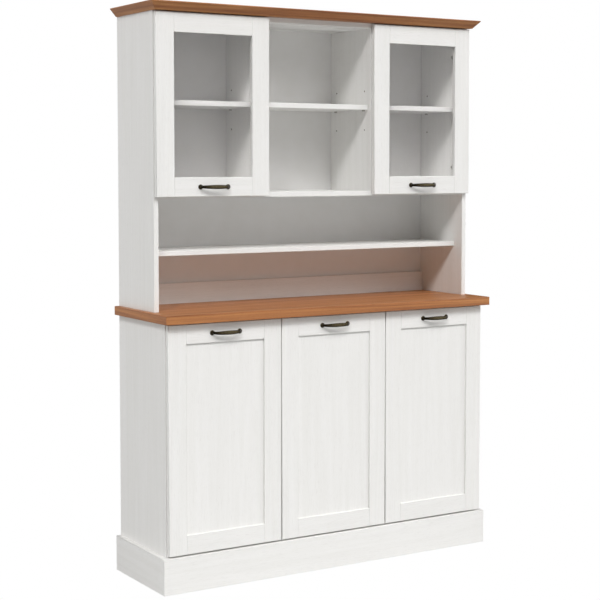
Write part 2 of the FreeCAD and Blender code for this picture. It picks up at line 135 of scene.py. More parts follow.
def bare_tree(owner: Any) -> Tree:
    """Switch on the nodes of a material or a world.

    Args:
        owner: The material or the world.

    Returns:
        Its emptied node tree.
    """
    owner.use_nodes = True
    owner.node_tree.nodes.clear()
    return owner.node_tree


def set_stops(ramp: bpy.types.Node, stops: Stops) -> None:
    """Give a colour ramp its stops.

    Args:
        ramp: The colour ramp node.
        stops: Place and hex colour of each stop, in rising order.
    """
    elements = ramp.color_ramp.elements
    for index, (place, colour) in enumerate(stops):
        element = elements[index] if index < 2 else elements.new(place)
        element.position = place
        element.color = to_linear(colour)


def span(given: Pair, wanted: Pair = (0.0, 1.0)) -> dict[str, float]:
    """Return the ends of a range and the ends that it is mapped onto, by the names of a node's inputs."""
    return {"From Min": given[0], "From Max": given[1], "To Min": wanted[0], "To Max": wanted[1]}


def mottle(tree: Tree, sizes_mm: Sequence[float], detail: float, shift: float = 0.0,
           **more: float) -> Socket:
    """Wire an irregular pattern on the piece.

    Args:
        tree: The material's node tree.
        sizes_mm: Size of a feature along X, Y and Z, or one size for all three.
        detail: Finer layers of the pattern.
        shift: Offset that parts one pattern from another.
        more: Other values of the pattern by the names of its inputs.

    Returns:
        The socket of the pattern, from 0 to 1.
    """
    place = add_node(tree, "ShaderNodeTexCoord").outputs["Object"]
    scales = [1.0 / (size * MM) for size in sizes_mm] * (3 // len(sizes_mm))
    mapped = add_node(tree, "ShaderNodeMapping", {"Vector": place, "Scale": scales, "Location": [shift] * 3})
    inputs = {"Vector": mapped.outputs["Vector"], "Scale": 1.0, "Detail": detail, **more}
    return add_node(tree, "ShaderNodeTexNoise", inputs).outputs["Fac"]


@dataclass(frozen=True)
class Finish:
    """One finish of the buffet, made into a material at its first use."""

    name: str

    def material(self) -> bpy.types.Material:
        """Find the finish's material, or make it.

        Returns:
            The material.
        """
        found = bpy.data.materials.get(self.name)
        if found is not None:
            return found
        made = bpy.data.materials.new(self.name)
        tree = bare_tree(made)
        add_node(tree, "ShaderNodeOutputMaterial", {"Surface": self.surface(tree)})
        return made

    def surface(self, tree: Tree) -> Socket:
        """Wire the finish and return the socket of its shader."""
        raise NotImplementedError(self.name)


@dataclass(frozen=True)
class GrainFinish(Finish):
    """A finish with a wood grain that runs one way."""

    run: GrainRun

    def grain(self, tree: Tree, feature_mm: Pair, detail: float, shift: float = 0.0) -> Socket:
        """Return a pattern whose features have this width across the grain and this length along it."""
        sizes = [feature_mm[1] if run is self.run else feature_mm[0] for run in GrainRun]
        return mottle(tree, sizes, detail, shift)


@dataclass(frozen=True)
class WhiteFoil(GrainFinish):
    """White melamine-resin foil on chipboard, pressed against a grained plate.

    The eye sees an almost even white with soft long streaks and fine pores, and a satin sheen broken by the
    relief. The pores are drawn twice as wide as real ones, because those are too fine to show.

    Attributes:
        tones: Place and colour of each tone of the print, from dark to light.
        pore_colour: Colour of the pores.
        streak_mm, ring_mm, fibre_mm, pore_mm: Width and length of a streak, of a group of growth lines, of a
            fibre and of a pore.
        rings, fibre_detail: Growth lines over the range of their pattern, and finer layers of the fibres.
        shifts: Offsets of fibres, growth lines and pores from the streaks.
        ring_share, fibre_share, pore_share: How far growth lines, fibres and pores mark the print.
        pore_range: Where in its pattern a pore begins, and where it is deepest.
        sheen_by_tone: Whether the sheen follows the tones or the fibres.
        roughness, specular: Roughness at both ends of that, and strength of the reflection.
        relief: Depth of the relief in millimetres, and how far the light follows it.
    """

    tones: Stops = ((0.28, "#ECEBE8"), (0.68, "#F2F1EF"))
    pore_colour: str = "#E0DEDB"
    streak_mm: Pair = (16.0, 600.0)
    ring_mm: Pair = (45.0, 900.0)
    rings: float = 9.0
    fibre_mm: Pair = (2.4, 150.0)
    fibre_detail: float = 3.0
    pore_mm: Pair = (1.0, 24.0)
    shifts: Triple = (7.3, 3.1, 11.9)
    ring_share: float = 0.16 / 0.58
    fibre_share: float = 0.42
    pore_range: Pair = (0.62, 0.70)
    pore_share: float = 0.5
    sheen_by_tone: bool = False
    roughness: Pair = (0.40, 0.52)
    specular: float = 0.5
    relief: Pair = (0.045, 0.35)

    def growth_lines(self, tree: Tree, shift: float) -> Socket:
        """Wire lines that follow the contours of a drawn-out pattern, as sawn growth rings do.

        Args:
            tree: The material's node tree.
            shift: Offset from the other patterns.

        Returns:
            The socket of the lines, from 0 to 1.
        """
        groups = self.grain(tree, self.ring_mm, detail=1.0, shift=shift)
        many = add_node(tree, "ShaderNodeMath", {0: groups, 1: self.rings}, operation="MULTIPLY")
        lines = add_node(tree, "ShaderNodeMath", {0: many.outputs[0], 1: 1.0}, operation="PINGPONG")
        return lines.outputs[0]

    def surface(self, tree: Tree) -> Socket:
        """Wire streaks, growth lines, fibres and pores to a satin foil.

        Args:
            tree: The material's node tree.

        Returns:
            The socket of the shader.
        """
        fibre_shift, ring_shift, pore_shift = self.shifts
        streaks = self.grain(tree, self.streak_mm, detail=2.0)
        fibres = self.grain(tree, self.fibre_mm, self.fibre_detail, fibre_shift)
        rings = self.growth_lines(tree, ring_shift)
        pores = add_node(tree, "ShaderNodeMapRange", {
            "Value": self.grain(tree, self.pore_mm, detail=1.0, shift=pore_shift), **span(self.pore_range)})
        body = add_node(tree, "ShaderNodeMix", {0: self.ring_share, 2: streaks, 3: rings})
        tone = add_node(tree, "ShaderNodeMix", {0: self.fibre_share, 2: body.outputs[0], 3: fibres})
        ramp = add_node(tree, "ShaderNodeValToRGB", {"Fac": tone.outputs[0]})
        set_stops(ramp, self.tones)
        share = add_node(tree, "ShaderNodeMath", {
            0: pores.outputs[0], 1: self.pore_share}, operation="MULTIPLY")
        colour = add_node(tree, "ShaderNodeMix", {
            0: share.outputs[0], 6: ramp.outputs["Color"], 7: to_linear(self.pore_colour)}, data_type="RGBA")
        height = add_node(tree, "ShaderNodeMath", {0: fibres, 1: pores.outputs[0]}, operation="SUBTRACT")
        bump = add_node(tree, "ShaderNodeBump", {
            "Height": height.outputs[0], "Strength": self.relief[1], "Distance": self.relief[0] * MM})
        gloss = add_node(tree, "ShaderNodeMapRange", {
            "Value": tone.outputs[0] if self.sheen_by_tone else fibres, **span(MOTTLE_SPAN, self.roughness)})
        shader = add_node(tree, "ShaderNodeBsdfPrincipled", {
            "Base Color": colour.outputs[2], "Roughness": gloss.outputs[0], "Normal": bump.outputs["Normal"],
            "IOR": RESIN_IOR, "Specular IOR Level": self.specular})
        return shader.outputs["BSDF"]


@dataclass(frozen=True)
class WalnutFoil(WhiteFoil):
    """Satin foil printed with warm brown walnut, built up like the white one, on a thick chipboard slab.

    The eye sees long golden and red-brown bands, thin dark lines and open pores under a soft lacquer sheen.
    The pores are drawn twice as wide as real ones, because those are too fine to show.
    """

    tones: Stops = ((0.25, "#7D4B2A"), (0.42, "#A06740"), (0.55, "#B67A4A"), (0.72, "#CD9560"))
    pore_colour: str = "#7D4B2A"
    streak_mm: Pair = (14.0, 900.0)
    ring_mm: Pair = (38.0, 1100.0)
    rings: float = 11.0
    fibre_mm: Pair = (1.5, 130.0)
    fibre_detail: float = 4.0
    pore_mm: Pair = (0.9, 14.0)
    shifts: Triple = (2.9, 3.1, 13.1)
    ring_share: float = 0.22
    fibre_share: float = 0.3
    pore_range: Pair = (0.61, 0.69)
    pore_share: float = 0.4
    sheen_by_tone: bool = True
    roughness: Pair = (0.44, 0.36)
    specular: float = 0.36
    relief: Pair = (0.08, 0.3)


@dataclass(frozen=True)
class LacqueredHardboard(Finish):
    """Thin hardboard, rolled with white lacquer in front and left raw behind.

    The eye sees a dull even white with a faint orange peel in front, and brown felted fibres behind.
    """

    lacquer: Stops = ((0.3, "#EFEEEC"), (0.7, "#F2F1F0"))
    fibres: Stops = ((0.3, "#6B4A30"), (0.7, "#957152"))
    peel_mm: float = 2.5
    cloud_mm: float = 60.0
    fibre_mm: float = 1.6
    roughness: Pair = (0.55, 0.85)
    relief: Pair = (0.06, 0.3)

    def surface(self, tree: Tree) -> Socket:
        """Wire the lacquer and the raw fibres, parted by the way the face looks.

        Args:
            tree: The material's node tree.

        Returns:
            The socket of the shader.
        """
        peel = mottle(tree, [self.peel_mm], detail=1.0)
        felt = mottle(tree, [self.fibre_mm], detail=5.0, Roughness=0.7, Distortion=1.5)
        white = add_node(tree, "ShaderNodeValToRGB", {"Fac": mottle(tree, [self.cloud_mm], detail=3.0)})
        set_stops(white, self.lacquer)
        raw = add_node(tree, "ShaderNodeValToRGB", {"Fac": felt})
        set_stops(raw, self.fibres)
        normal = add_node(tree, "ShaderNodeTexCoord").outputs["Normal"]
        parted = add_node(tree, "ShaderNodeSeparateXYZ", {0: normal})
        behind = add_node(tree, "ShaderNodeMath", {0: parted.outputs["Y"], 1: 0.5}, operation="GREATER_THAN")
        colour = add_node(tree, "ShaderNodeMix", {
            0: behind.outputs[0], 6: white.outputs["Color"], 7: raw.outputs["Color"]}, data_type="RGBA")
        height = add_node(tree, "ShaderNodeMix", {0: behind.outputs[0], 2: peel, 3: felt})
        bump = add_node(tree, "ShaderNodeBump", {
            "Height": height.outputs[0], "Strength": self.relief[1], "Distance": self.relief[0] * MM})
        gloss = add_node(tree, "ShaderNodeMapRange", {
            "Value": behind.outputs[0], **span((0.0, 1.0), self.roughness)})
        shader = add_node(tree, "ShaderNodeBsdfPrincipled", {
            "Base Color": colour.outputs[2], "Roughness": gloss.outputs[0], "Normal": bump.outputs["Normal"],
            "IOR": RESIN_IOR})
        return shader.outputs["BSDF"]


@dataclass(frozen=True)
class AntiqueBronze(Finish):
    """Die-cast zinc, plated, blackened and rubbed back along its crest.

    The eye sees a brown-black metal whose handled parts show a paler brushed bronze.
    """

    black: str = "#2A251D"
    rubbed: str = "#7D7257"
    brush_mm: Triple = (16.0, 0.7, 0.7)
    blotch_mm: float = 6.0
    rub_range: Pair = (0.18, 0.55)
    rub_share: float = 0.8
    roughness: Pair = (0.28, 0.42)
    relief: Pair = (0.04, 0.3)

    def surface(self, tree: Tree) -> Socket:
        """Wire the blackened body, the rubbed crest and the brush marks.

        Args:
            tree: The material's node tree.

        Returns:
            The socket of the shader.
        """
        brush = mottle(tree, self.brush_mm, detail=3.0)
        blotch = mottle(tree, [self.blotch_mm], detail=3.0)
        marks = add_node(tree, "ShaderNodeMix", {0: 0.5, 2: brush, 3: blotch}).outputs[0]
        crest = add_node(tree, "ShaderNodeAttribute", attribute_name="wear")
        rub = add_node(tree, "ShaderNodeMath", {0: crest.outputs["Fac"], 1: marks}, operation="MULTIPLY")
        share = add_node(tree, "ShaderNodeMapRange", {
            "Value": rub.outputs[0], **span(self.rub_range, (0.0, self.rub_share))})
        colour = add_node(tree, "ShaderNodeMix", {
            0: share.outputs[0], 6: to_linear(self.black), 7: to_linear(self.rubbed)}, data_type="RGBA")
        gloss = add_node(tree, "ShaderNodeMapRange", {"Value": marks, **span(MOTTLE_SPAN, self.roughness)})
        bump = add_node(tree, "ShaderNodeBump", {
            "Height": marks, "Strength": self.relief[1], "Distance": self.relief[0] * MM})
        shader = add_node(tree, "ShaderNodeBsdfPrincipled", {
            "Base Color": colour.outputs[2], "Metallic": 1.0, "Roughness": gloss.outputs[0],
            "Normal": bump.outputs["Normal"]})
        return shader.outputs["BSDF"]


@dataclass(frozen=True)
class NickelSteel(Finish):
    """Pressed steel with bright nickel plate.

    The eye sees a cool grey mirror dulled by drawing marks and faint handling haze.
    """

    plate: Stops = ((0.35, "#A7A49E"), (0.6, "#CFCCC6"))
    haze_mm: float = 7.0
    mark_mm: Triple = (0.6, 9.0, 0.6)
    roughness: Pair = (0.34, 0.22)
    relief: Pair = (0.02, 0.25)

    def surface(self, tree: Tree) -> Socket:
        """Wire the plate, its haze and its drawing marks.

        Args:
            tree: The material's node tree.

        Returns:
            The socket of the shader.
        """
        marks = mottle(tree, self.mark_mm, detail=2.0)
        haze = mottle(tree, [self.haze_mm], detail=4.0)
        colour = add_node(tree, "ShaderNodeValToRGB", {"Fac": haze})
        set_stops(colour, self.plate)
        gloss = add_node(tree, "ShaderNodeMapRange", {"Value": haze, **span(MOTTLE_SPAN, self.roughness)})
        bump = add_node(tree, "ShaderNodeBump", {
            "Height": marks, "Strength": self.relief[1], "Distance": self.relief[0] * MM})
        shader = add_node(tree, "ShaderNodeBsdfPrincipled", {
            "Base Color": colour.outputs["Color"], "Metallic": 1.0, "Roughness": gloss.outputs[0],
            "Normal": bump.outputs["Normal"]})
        return shader.outputs["BSDF"]


@dataclass(frozen=True)
class FloatGlass(Finish):
    """Clear float glass with ground edges.

    It is drawn flat on molten tin, cut, and ground at its edges. The eye sees sharp reflections and a breath
    of wiping haze, with hardly any cast. Soft light falls through it somewhat weakened.
    """

    tint: str = "#FFFEFE"
    lamp_tint: str = "#B6B6B6"
    haze_mm: float = 45.0
    haze_range: Pair = (0.4, 0.8)
    roughness: Pair = (0.0, 0.03)
    ior: float = 1.52

    def surface(self, tree: Tree) -> Socket:
        """Wire the clear pane with its haze.

        Args:
            tree: The material's node tree.

        Returns:
            The socket of the shader.
        """
        haze = mottle(tree, [self.haze_mm], detail=3.0)
        gloss = add_node(tree, "ShaderNodeMapRange", {
            "Value": haze, **span(self.haze_range, self.roughness)})
        pane = add_node(tree, "ShaderNodeBsdfPrincipled", {
            "Base Color": to_linear(self.tint), "Roughness": gloss.outputs[0], "IOR": self.ior,
            "Transmission Weight": 1.0})
        lamp_ray = add_node(tree, "ShaderNodeLightPath").outputs["Is Shadow Ray"]
        clear = add_node(tree, "ShaderNodeBsdfTransparent", {"Color": to_linear(self.lamp_tint)})
        both = add_node(tree, "ShaderNodeMixShader", {
            0: lamp_ray, 1: pane.outputs["BSDF"], 2: clear.outputs["BSDF"]})
        return both.outputs["Shader"]


@dataclass(frozen=True)
class RawBeech(GrainFinish):
    """Turned beech, left raw.

    The eye sees a pale pinkish brown with short dark flecks along the grain.
    """

    tones: Stops = ((0.35, "#A57A50"), (0.6, "#D2AC80"))
    fleck_mm: Pair = (0.8, 5.0)
    roughness: float = 0.7

    def surface(self, tree: Tree) -> Socket:
        """Wire the flecks to a dull beech.

        Args:
            tree: The material's node tree.

        Returns:
            The socket of the shader.
        """
        colour = add_node(tree, "ShaderNodeValToRGB", {"Fac": self.grain(tree, self.fleck_mm, detail=2.0)})
        set_stops(colour, self.tones)
        shader = add_node(tree, "ShaderNodeBsdfPrincipled", {
            "Base Color": colour.outputs["Color"], "Roughness": self.roughness, "IOR": RESIN_IOR})
        return shader.outputs["BSDF"]


@dataclass(frozen=True)
class ChipboardWithBoreShade(Finish):
    """Pressed chips and glue, laid bare where a bore cuts through the foil.

    The eye sees brown flakes of several tones, with no sheen, drawn darker as painted shade in the bores.
    """

    # The tones are darker than raw chipboard: painted shade for the dim inside of a bore.
    tones: Stops = ((0.2, "#7C5F40"), (0.7, "#46321F"))
    chip_mm: float = 1.4
    roughness: float = 0.9

    def surface(self, tree: Tree) -> Socket:
        """Wire the chips to a dull brown, darkened as painted shade for the bores.

        Args:
            tree: The material's node tree.

        Returns:
            The socket of the shader.
        """
        place = add_node(tree, "ShaderNodeTexCoord").outputs["Object"]
        chips = add_node(tree, "ShaderNodeTexVoronoi", {"Vector": place, "Scale": 1.0 / (self.chip_mm * MM)})
        colour = add_node(tree, "ShaderNodeValToRGB", {"Fac": chips.outputs["Distance"]})
        set_stops(colour, self.tones)
        shader = add_node(tree, "ShaderNodeBsdfPrincipled", {
            "Base Color": colour.outputs["Color"], "Roughness": self.roughness, "IOR": RESIN_IOR})
        return shader.outputs["BSDF"]


WHITE = {run: WhiteFoil("white_foil_" + run.name.lower(), run) for run in GrainRun}
WALNUT = WalnutFoil("walnut_foil", GrainRun.ACROSS)
WALNUT_ENDS = WalnutFoil("walnut_edge_foil", GrainRun.DEEP)
HARDBOARD = LacqueredHardboard("lacquered_hardboard")
BRONZE = AntiqueBronze("antique_bronze_plate")
NICKEL = NickelSteel("nickel_plate")
GLASS = FloatGlass("float_glass")
BEECH = RawBeech("raw_beech", GrainRun.ACROSS)
CHIPBOARD_AND_BORE_SHADE = ChipboardWithBoreShade("raw_chipboard")


@dataclass(frozen=True)
class Place:
    """Where a piece belongs: its body and its slot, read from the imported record."""

    body: str
    slot: str


def places_of_nodes() -> dict[str, Place]:
    """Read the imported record.

    Returns:
        The body and slot of every node, by its name.
    """
    record = frame["record"]
    bodies = {node: body for body, nodes in record["behaviour"]["bodies"].items() for node in nodes}
    return {part["node"]: Place(bodies[part["node"]], part["material_slot"]) for part in record["subparts"]}


PLACES = places_of_nodes()


def put_in_scene(name: str, data: Any) -> bpy.types.Object:
    """Make a new object and link it into the scene.

    Args:
        name: The object's name.
        data: Its mesh, light or camera.

    Returns:
        The object.
    """
    item = bpy.data.objects.new(name, data)
    bpy.context.scene.collection.objects.link(item)
    return item


def add_piece(name: str, mesh: Mesh, finish: Finish, place: Place, stands_for: Iterable[str] = (),
              second: Optional[Finish] = None) -> None:
    """Put a finished mesh into the scene as a piece of the buffet.

    Args:
        name: The piece's name.
        mesh: Its mesh, already in place.
        finish: The finish of its surface.
        place: The body it rides on and the slot it belongs to.
        stands_for: The part's nodes that it replaces.
        second: The finish of the faces with material number 1.
    """
    mesh.name = name
    numbers = [face.material_index for face in mesh.polygons]
    mesh.materials.clear()
    mesh.materials.append(finish.material())
    if second is not None:
        mesh.materials.append(second.material())
        mesh.polygons.foreach_set("material_index", numbers)
    piece = put_in_scene(name, mesh)
    for node in stands_for:
        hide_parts(node)
    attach(piece, place.body)
    LOG.info("%s on %s: %d faces in %s", name, place.body, len(mesh.polygons), finish.name)


def dress(node: str, finish: Finish) -> None:
    """Give a node that keeps its own mesh a better finish.

    Args:
        node: The node.
        finish: Its finish.
    """
    mesh = frame["nodes"][node].data
    mesh.materials.clear()
    mesh.materials.append(finish.material())
    LOG.info("%s keeps its shape, in %s", node, finish.name)


def merged_copy(node: str, join_mm: float = 0.005, flat_degrees: float = 0.5) -> BMesh:
    """Return a copy of a node's mesh with its loose triangles joined into faces.

    Args:
        node: The node.
        join_mm: Points nearer to each other than this are one.
        flat_degrees: Faces that meet at a smaller angle than this are one.

    Returns:
        The copy.
    """
    shape = bmesh.new()
    shape.from_mesh(frame["nodes"][node].data)
    bmesh.ops.remove_doubles(shape, verts=shape.verts, dist=join_mm * MM)
    flat = math.radians(flat_degrees)
    bmesh.ops.dissolve_limit(shape, angle_limit=flat, verts=shape.verts, edges=shape.edges)
    return shape


def solids_of(node: str) -> list[Box]:
    """Find the solids in a node.

    Args:
        node: The node.

    Returns:
        The box of each solid, sorted by its low corner.
    """
    shape = merged_copy(node)
    boxes = []
    unseen = set(shape.verts)
    while unseen:
        island = [unseen.pop()]
        for vertex in island:
            near = {edge.other_vert(vertex) for edge in vertex.link_edges} & unseen
            unseen -= near
            island.extend(near)
        low = Vector([min(vertex.co[axis] for vertex in island) for axis in range(3)])
        high = Vector([max(vertex.co[axis] for vertex in island) for axis in range(3)])
        boxes.append((low, high))
    shape.free()
    return sorted(boxes, key=lambda box: tuple(box[0]))


def to_mesh(shape: BMesh, name: str) -> Mesh:
    """Turn a bmesh into a mesh and free it.

    Args:
        shape: The bmesh.
        name: The mesh's name.

    Returns:
        The mesh.
    """
    mesh = bpy.data.meshes.new(name)
    shape.to_mesh(mesh)
    shape.free()
    return mesh


def skin(shape: BMesh, rings: list[list[bmesh.types.BMVert]]) -> None:
    """Close a row of equal rings of points into one solid, with a face at each end.

    Args:
        shape: The bmesh that has the points and takes the faces.
        rings: The points of each ring, from one end to the other.
    """
    count = len(rings[0])
    for near, far in zip(rings, rings[1:]):
        for spoke in range(count):
            after = (spoke + 1) % count
            shape.faces.new((near[spoke], near[after], far[after], far[spoke]))
    shape.faces.new(rings[0])
    shape.faces.new(rings[-1])


def spot_tree(name: str, sizes: Iterable[str]) -> Tree:
    """Start a node tree that takes points, sizes and a finish, and gives one mesh.

    Args:
        name: The tree's name.
        sizes: The names of its sizes.

    Returns:
        The tree, with its inputs and its output.
    """
    tree = bpy.data.node_groups.new(name, "GeometryNodeTree")
    kinds = [("Spots", "Geometry"), *((size, "Float") for size in sizes), ("Finish", "Material")]
    for socket, kind in kinds:
        tree.interface.new_socket(socket, in_out="INPUT", socket_type="NodeSocket" + kind)
    tree.interface.new_socket("Pieces", in_out="OUTPUT", socket_type="NodeSocketGeometry")
    return tree


def set_on_spots(tree: Tree, given: Any, piece: Socket, twist: Optional[Socket] = None) -> None:
    """End a node tree: set a piece on every point, turned the way the point faces, in the finish.

    Args:
        tree: The node tree.
        given: The sockets of the tree's inputs.
        piece: The socket of the piece, which stands on Z.
        twist: The socket of a turn about the piece's own axis.
    """
    facing = add_node(tree, "GeometryNodeInputNamedAttribute", {"Name": "facing"}, data_type="FLOAT_VECTOR")
    turned = add_node(tree, "FunctionNodeAlignRotationToVector", {
        "Vector": facing.outputs["Attribute"]}, axis="Z")
    if twist is not None:
        turned = add_node(tree, "FunctionNodeRotateRotation", {
            "Rotation": turned.outputs[0], "Rotate By": twist}, rotation_space="LOCAL")
    placed = add_node(tree, "GeometryNodeInstanceOnPoints", {
        "Points": given["Spots"], "Instance": piece, "Rotation": turned.outputs[0]})
    real = add_node(tree, "GeometryNodeRealizeInstances", {"Geometry": placed.outputs["Instances"]})
    dressed = add_node(tree, "GeometryNodeSetMaterial", {
        "Geometry": real.outputs["Geometry"], "Material": given["Finish"]})
    add_node(tree, "NodeGroupOutput", {"Pieces": dressed.outputs["Geometry"]})


def lifted(tree: Tree, piece: Socket, height: Socket) -> Socket:
    """Move a piece of a node tree up along Z.

    Args:
        tree: The node tree.
        piece: The socket of the piece.
        height: The socket of the height.

    Returns:
        The socket of the moved piece.
    """
    way = add_node(tree, "ShaderNodeCombineXYZ", {2: height})
    moved = add_node(tree, "GeometryNodeTransform", {"Geometry": piece, "Translation": way.outputs[0]})
    return moved.outputs["Geometry"]


def mesh_from_tree(name: str, tree: Tree, spots: list[Spot], sizes: dict[str, float],
                   finish: Finish) -> Mesh:
    """Run a node tree on a set of points and return the plain mesh that it makes.

    Args:
        name: The mesh's name.
        tree: The node tree, whose first input takes the points.
        spots: Each point and the way its piece looks.
        sizes: The sizes that the tree takes, by name.
        finish: The finish of the pieces.

    Returns:
        The mesh.
    """
    points = bpy.data.meshes.new(name + "_spots")
    points.from_pydata([tuple(spot) for spot, _ in spots], [], [])
    ways = points.attributes.new("facing", "FLOAT_VECTOR", "POINT")
    for index, (_, way) in enumerate(spots):
        ways.data[index].vector = way
    carrier = put_in_scene(name + "_spots", points)
    modifier = carrier.modifiers.new(tree.name, "NODES")
    modifier.node_group = tree
    values = {**sizes, "Finish": finish.material()}
    for socket in tree.interface.items_tree:
        if socket.name in values:
            modifier[socket.identifier] = values[socket.name]
    made = carrier.evaluated_get(bpy.context.evaluated_depsgraph_get())
    mesh = bpy.data.meshes.new_from_object(made)
    carrier.modifiers.remove(modifier)
    bpy.data.objects.remove(carrier)
    bpy.data.meshes.remove(points)
    return mesh


@dataclass
class Board:
    """A board that keeps the shape of its node and gets eased edges.

    Attributes:
        node: The node it stands for.
        finish: Its foil or lacquer.
        ease_mm: Radius of its eased edges.
        shortest_mm: Edges shorter than this, such as the rims of bores, stay as they are.
        steps: Faces across an eased edge.
        second: The finish of its bores, or of a walnut board's ends.
        bore_mm: A board's faces with a shorter outline than this belong to bores.
        sharp_degrees: Edges whose faces meet at a larger angle than this are eased.
    """

    node: str
    finish: Finish
    ease_mm: float = 0.7
    shortest_mm: float = 11.0
    steps: int = 3
    second: Optional[Finish] = None
    bore_mm: float = 60.0
    sharp_degrees: float = 50.0

    def shows_second(self, face: bmesh.types.BMFace) -> bool:
        """Tell whether a face of the node's mesh takes the second finish.

        Args:
            face: The face.

        Returns:
            True for the ends of a walnut board, and for the faces of a bore.
        """
        if self.second is WALNUT_ENDS:
            return abs(face.normal.x) > 0.5
        return self.second is not None and face.calc_perimeter() < self.bore_mm * MM

    def mesh(self) -> Mesh:
        """Round the long outer edges of a copy of the node's mesh.

        Returns:
            The mesh.
        """
        shape = merged_copy(self.node)
        for face in shape.faces:
            face.material_index = int(self.shows_second(face))
        sharp = math.radians(self.sharp_degrees)
        edges = [edge for edge in shape.edges if edge.is_manifold and edge.is_convex
                 and edge.calc_face_angle() > sharp and edge.calc_length() > self.shortest_mm * MM]
        bmesh.ops.bevel(shape, geom=edges, offset=self.ease_mm * MM, offset_type="OFFSET",
                        segments=self.steps, profile=0.5, affect="EDGES", clamp_overlap=False)
        return to_mesh(shape, self.node)

    def build(self) -> None:
        """Make the piece and put it in place of its node."""
        place = PLACES[self.node]
        add_piece(self.node + "_board", self.mesh(), self.finish, place, [self.node], self.second)


@dataclass
class DoorRails(Board):
    """The rails of a door, whose ends stand a hair off the stiles in front, which draws a fine line.

    Attributes:
        joint_mm: Width of the joint at the door's face.
    """

    joint_mm: float = 0.5

    def mesh(self) -> Mesh:
        """Draw the ends of the rails in towards the front.

        Returns:
            The mesh.
        """
        mesh = super().mesh()
        low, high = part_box(self.node)
        reach = self.shortest_mm * MM
        for vertex in mesh.vertices:
            gap = self.joint_mm * MM * (high.y - vertex.co.y) / (high.y - low.y)
            if vertex.co.x < low.x + reach:
                vertex.co.x += gap
            elif vertex.co.x > high.x - reach:
                vertex.co.x -= gap
        return mesh


@dataclass
class Carcass:
    """The boards that stand still: base unit, worktop, hutch and cornice.

    Attributes:
        upright, across, deep: Boards whose grain runs up, from side to side, and from front to back.
        walnut, backs: Boards in brown foil, and thin back panels.
        walnut_ease_mm, back_ease_mm: Radius of the edges of each.
    """

    upright: tuple[str, ...] = (
        "base_side_left", "base_side_right", "base_divider_left", "base_divider_right",
        "hutch_side_left", "hutch_side_right", "hutch_divider_left", "hutch_divider_right")
    across: tuple[str, ...] = (
        "base_bottom", "base_top_rail_front", "base_top_rail_rear", "base_shelf_left", "base_shelf_middle",
        "base_shelf_right", "plinth_front", "hutch_top", "hutch_floor", "hutch_shelf_left",
        "hutch_shelf_middle", "hutch_shelf_right", "spice_shelf", "hutch_back_rail")
    deep: tuple[str, ...] = ("plinth_left", "plinth_right")
    walnut: tuple[str, ...] = ("worktop", "cornice")
    backs: tuple[str, ...] = ("base_back_panel", "hutch_back_panel")
    walnut_ease_mm: float = 1.2
    back_ease_mm: float = 0.3

    def build(self) -> None:
        """Make every board."""
        runs = {GrainRun.UPRIGHT: self.upright, GrainRun.ACROSS: self.across, GrainRun.DEEP: self.deep}
        for run, nodes in runs.items():
            # Bores in the upright boards show chipboard drawn dark, as painted shade.
            bores = CHIPBOARD_AND_BORE_SHADE if run is GrainRun.UPRIGHT else None
            for node in nodes:
                Board(node, WHITE[run], second=bores).build()
        for node in self.walnut:
            Board(node, WALNUT, self.walnut_ease_mm, second=WALNUT_ENDS).build()
        for node in self.backs:
            Board(node, HARDBOARD, self.back_ease_mm).build()
        dress("dowels", BEECH)


def fuller(value: float, power: float) -> float:
    """Return a sine or cosine for a fuller curve: a power of 2 keeps the circle, more rounds a box."""
    return math.copysign(abs(value) ** (2 / power), value)


